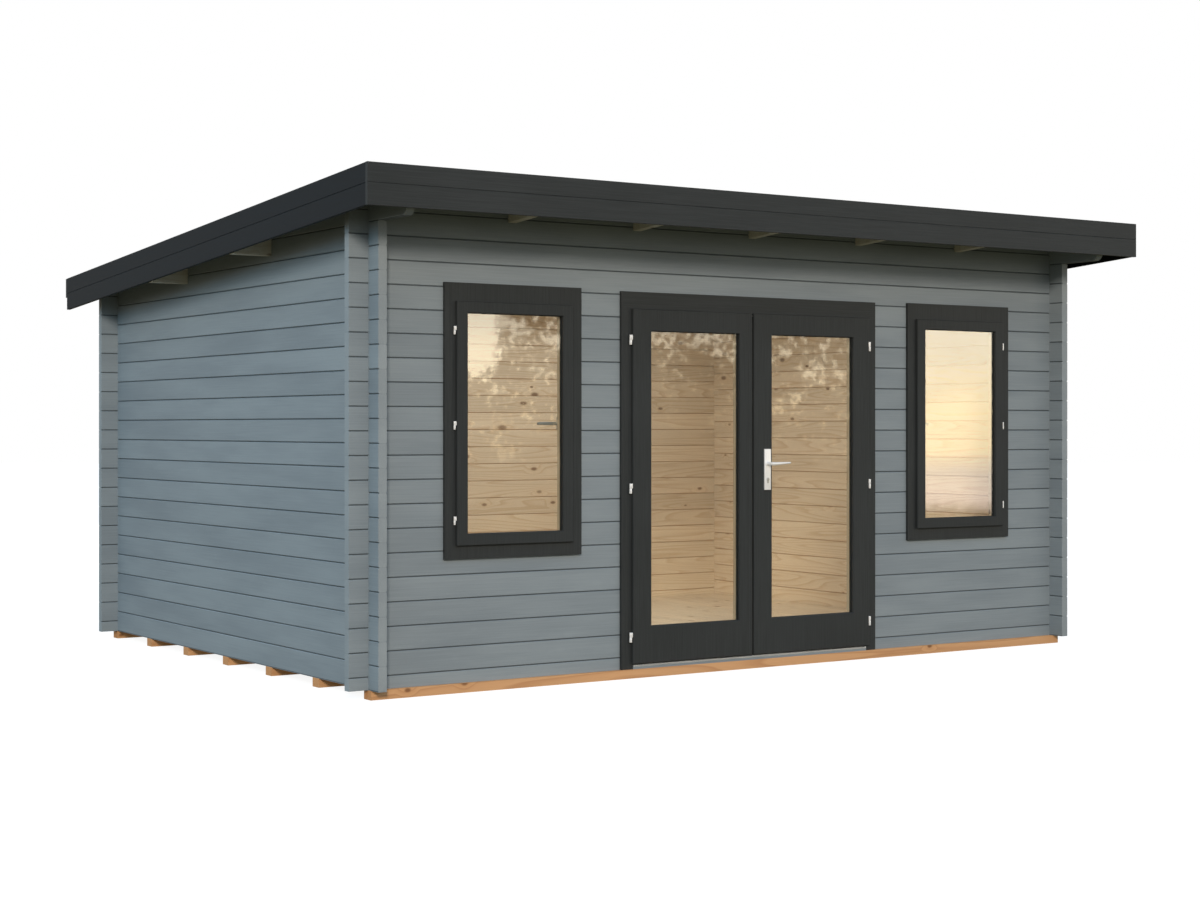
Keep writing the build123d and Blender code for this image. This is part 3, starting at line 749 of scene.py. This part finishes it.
def makeGasket(corners, face, out):  # a rubber ring against the pane, made from a plane inset and thickened
    (left, bottom), (right, top) = corners
    bpy.ops.object.select_all(action="DESELECT")
    middle = ((left + right) / 2, face, (bottom + top) / 2)
    bpy.ops.mesh.primitive_plane_add(size=1, location=middle, rotation=lying["y"])
    bpy.context.object.scale = (right - left, top - bottom, 1)
    ring = placeApplied()
    choose(ring, "faces", everything)
    bpy.ops.mesh.inset(thickness=gaskets["width"])
    bpy.ops.mesh.delete(type="FACE")
    bpy.ops.object.mode_set(mode="OBJECT")
    bpy.ops.object.modifier_add(type="SOLIDIFY")
    wall = ring.modifiers[-1]
    wall.thickness = gaskets["proud"]
    wall.offset = -out
    bpy.ops.object.modifier_apply(modifier=wall.name)
    inner = gaskets["width"] * 0.5
    bevel(ring, lambda a, b: abs(a.y - face) > tiny and abs(b.y - face) > tiny and a.x > left + inner
          and b.x < right - inner and a.z > bottom + inner and b.z < top - inner, gaskets["round"], 1)
    return ring


def makeGaskets():
    outer, inner = gaskets["faces"]
    sash, left, right = [weld(makeGasket(corners, outer, -1), makeGasket(corners, inner, 1))
                         for corners in paneCorners.values()]
    settle(weld(sash, twin(sash, flip=True)), "windowGaskets", rubber)
    settle(left, "leftDoorGasket", rubber, "left_door")
    settle(right, "rightDoorGasket", rubber, "right_door")


meetingBead = {"low": (-0.0375, -1.6792, 0.074), "high": (-0.0205, -1.6706, 1.856), "round": 0.003}


def makeMeetingBead():  # a slip that half fills the step where the leaves meet
    low, high = meetingBead["low"], meetingBead["high"]
    bead = startBlock(low, high)
    bevel(bead, lambda a, b: b.y < low[1] + tiny and a.x > high[0] - tiny, meetingBead["round"], 3)
    settle(bead, "meetingBead", paintUpright, "left_door")


windowCatch = {
    "at": (-1.184, 1.2805), "face": -1.628, "plate": (0.026, 0.070, 0.012), "plateRound": 0.009,
    "neck": 0.009, "reach": 0.034, "round": 0.002,
    "grip": (0.112, 0.012, 0.018), "gripRound": 0.0035, "tip": (0.8, 0.72),  # the tip is thinner and lower
}


def makeWindowCatches():
    x, z = windowCatch["at"]
    face, soft = windowCatch["face"], windowCatch["round"]
    width, height, thick = windowCatch["plate"]
    front = face + windowCatch["reach"]
    plate = startBlock((x - width / 2, face, z - height / 2), (x + width / 2, face + thick, z + height / 2))
    bevel(plate, lambda a, b: b.y - a.y > thick / 2, windowCatch["plateRound"], 5)
    bevel(plate, lambda a, b: a.y > face + thick - tiny, soft, 2)
    neck = startRod(windowCatch["neck"], (x, face + thick - tiny, z), windowCatch["reach"] - thick, "y", 24)
    bevel(neck, lambda a, b: a.y > front - 2 * tiny, soft, 2)
    length, thin, tall = windowCatch["grip"]
    tip = x - length
    grip = startBlock((tip, front - thin, z - tall / 2), (x, front, z + tall / 2))
    choose(grip, "faces", lambda a, b: b.x < tip + tiny)
    bpy.ops.transform.resize(value=(1, *windowCatch["tip"]), center_override=(tip, front, z))
    bevel(grip, lambda a, b: b.x - a.x > length / 2, windowCatch["gripRound"], 3)
    bevel(grip, lambda a, b: b.x < tip + tiny, soft, 2)
    side = weld(plate, neck, grip)
    bothSides = weld(side, twin(side, flip=True))
    settle(bothSides, "windowHandles", greyBar, "cabin", ["window_handles"])


stages = (makeFloorBoards, makeRoofBoards, makeRoofFelt, makeDoorFurniture, makeHinges, makeThreshold,
          makeGaskets, makeMeetingBead, makeWindowCatches)
for stage in stages:
    stage()
    print("made", stage.__name__[4:])


# Studio: pale floor and soft sky
studio = {
    "floorRadius": 60.0, "floor": (0.2, 0.2, 0.2), "floorGlow": (0.9, 0.9, 0.9), "backdrop": 1.0,
    "zenith": (0.66, 0.88, 1.14), "horizon": (1.0, 0.98, 0.92), "below": (0.2, 0.184, 0.12), "sky": 0.75,
}
# A low warm lamp in front, cool ones on the left and behind, one in the room: power, colour, size, place, aim
lamps = {
    "keyLight": (6250.0, (1.0, 0.87, 0.74), (4.5, 4.5), (-16.0, -25.0, 11.2), (-0.3, -1, 1.2)),
    "fillLight": (340.0, (0.28, 0.72, 1.0), (5.0, 5.0), (-13.0, -1.5, 6.0), (-2, 0, 1.2)),
    "backLight": (700.0, (0.95, 0.98, 1.0), (5.0, 5.0), (5.0, 13.0, 6.0), (0, 1.6, 1.2)),
    "roomLight": (32.0, (0.94, 0.96, 1.0), (3.2, 1.9), (0.0, 0.35, 1.98), (0, 0.35, 0)),
}
view = {"at": (-6.5298, -9.9843, 1.265), "turn": -33.753, "sensor": 36.0, "lens": 60.326, "rise": -0.0194}
# What the panes mirror: a warm glow low in front, open on both sides and broken up between
mirrored = {
    "sides": (31.0, 41.7), "tops": (1.4, -2.36), "reach": (20.0, 50.0),  # degrees
    "power": (3.7, 4.55), "screen": (0.3, 0.27, 0.2), "gaps": 2.4,
    "glow": [
        (0.0, (0.3, 0.26, 0.24)), (0.1, (0.62, 0.5, 0.46)), (0.28, (0.57, 0.5, 0.44)),
        (0.4, (0.88, 0.71, 0.45)), (0.58, (1.0, 0.82, 0.52)), (1.0, (1.0, 0.91, 0.74)),
    ],
}


def makeFloor():
    bpy.ops.object.select_all(action="DESELECT")
    bpy.ops.mesh.primitive_circle_add(
        vertices=96, radius=studio["floorRadius"], fill_type="NGON", location=(0, 0, 0))
    floor = bpy.context.object
    floor.name = "paleFloor"
    f = newFinish("paleFloor")
    x, y, z = f.spot()
    soft = f.noise(f.vector(x, y, z), 0.6, 2.0, 0.5)
    pale = f.shade(studio["floor"], soft * 0.02 + 0.98)
    glow = f.shade(studio["floorGlow"], soft * 0.02 + 0.98)
    skin = f.skin(Base_Color=pale, Roughness=0.9, Emission_Color=glow, Emission_Strength=1.0)
    floor.data.materials.append(skin)
    floor.visible_diffuse = False  # keeps the floor's bounce out of the eaves
    floor.visible_glossy = False


def makeSky():
    world = bpy.data.worlds.new("studioSky")
    bpy.context.scene.world = world
    f = Finish(world)
    way = f.add("ShaderNodeTexCoord", {}, {}, "Generated")
    x, y, z = f.add("ShaderNodeSeparateXYZ", {}, {0: way}, ("X", "Y", "Z"))
    sky = f.tint(f.ease(z, 0.0, 0.7), studio["horizon"], studio["zenith"])
    sky = f.tint(f.ease(z, -0.05, 0.0), studio["below"], sky)
    sky = f.shade(sky, studio["sky"])
    turn = x.calc("ARCTAN2", x, y * -1) * math.degrees(1)  # degrees from straight in front towards the right
    rise = z.calc("ARCSINE", z) * math.degrees(1)
    broad = f.noise(f.vector(turn * 0.9, rise * 0.9, 3.0), 1.0, 4.0, 0.65)
    fine = f.noise(f.vector(turn * 6.0, rise * 5.0, 8.0), 1.0, 4.0, 0.62)
    wobble = (broad - 0.5) * 2.0 + (fine - 0.5) * 4.6
    first, second = mirrored["sides"]
    leftTop, rightTop = mirrored["tops"]
    # 0 where the glow is open down to the sill
    closed = 1 - f.ease(turn + wobble * 0.25, second - 0.5, second + 0.5)
    past = f.ease(turn + wobble * 0.35, first - 0.25, first + 0.25)
    top = rightTop + (leftTop - rightTop) * closed + closed * past * 12
    opened = f.ease(rise - top + wobble * (0.5 * closed + 0.08), -0.15, 0.4)
    broken = fine + (broad - 0.5) * 0.9 + f.ease(rise, 0.6, 2.6) * 0.08
    gaps = f.ease(broken, 0.54, 0.72) * f.ease(rise + abs(turn - 36.0) * 0.4, -0.6, 2.6)
    glow = f.ramp((rise + (broad - 0.5) * 0.9 + 3.0) / 6.0, mirrored["glow"])
    screen = f.tint(gaps, mirrored["screen"], f.shade(glow, mirrored["gaps"]))
    leftPower, rightPower = mirrored["power"]
    front = f.tint(opened, screen, f.shade(glow, rightPower + (leftPower - rightPower) * closed))
    start, end = mirrored["reach"]
    near = f.ease(turn, start, start + 5) * (1 - f.ease(turn, end, end + 8))
    near = near * (1 - f.ease(rise, 6.0, 14.0)) * f.ease(rise, -9.0, -5.0)
    camera, glossy = f.add("ShaderNodeLightPath", {}, {}, ("Is Camera Ray", "Is Glossy Ray"))
    light = f.tint(near * glossy, sky, front)
    light = f.tint(camera, light, (studio["backdrop"],) * 3)
    shader = f.add("ShaderNodeBackground", {}, {"Color": light, "Strength": 1.0})
    f.add("ShaderNodeOutputWorld", {}, {"Surface": shader}, ())


def makeLamp(name, power, colour, size, place, aim):
    bpy.ops.object.light_add(type="AREA", location=place)
    lamp = bpy.context.object
    lamp.name = name
    lamp.data.energy = power
    lamp.data.color = colour
    lamp.data.shape = "RECTANGLE"
    lamp.data.size, lamp.data.size_y = size
    lamp.rotation_euler = (Vector(aim) - Vector(place)).to_track_quat("-Z", "Y").to_euler()
    lamp.visible_camera = False
    lamp.visible_glossy = False


def makeCamera():
    bpy.ops.object.camera_add(location=view["at"], rotation=(quarter, 0, math.radians(view["turn"])))
    camera = bpy.context.object
    camera.data.sensor_width = view["sensor"]
    camera.data.lens = view["lens"]
    camera.data.shift_y = view["rise"]
    bpy.context.scene.camera = camera


makeFloor()
makeSky()
for name, settings in lamps.items():
    makeLamp(name, *settings)
makeCamera()
bpy.context.scene.view_settings.view_transform = "Standard"
print("studio ready")
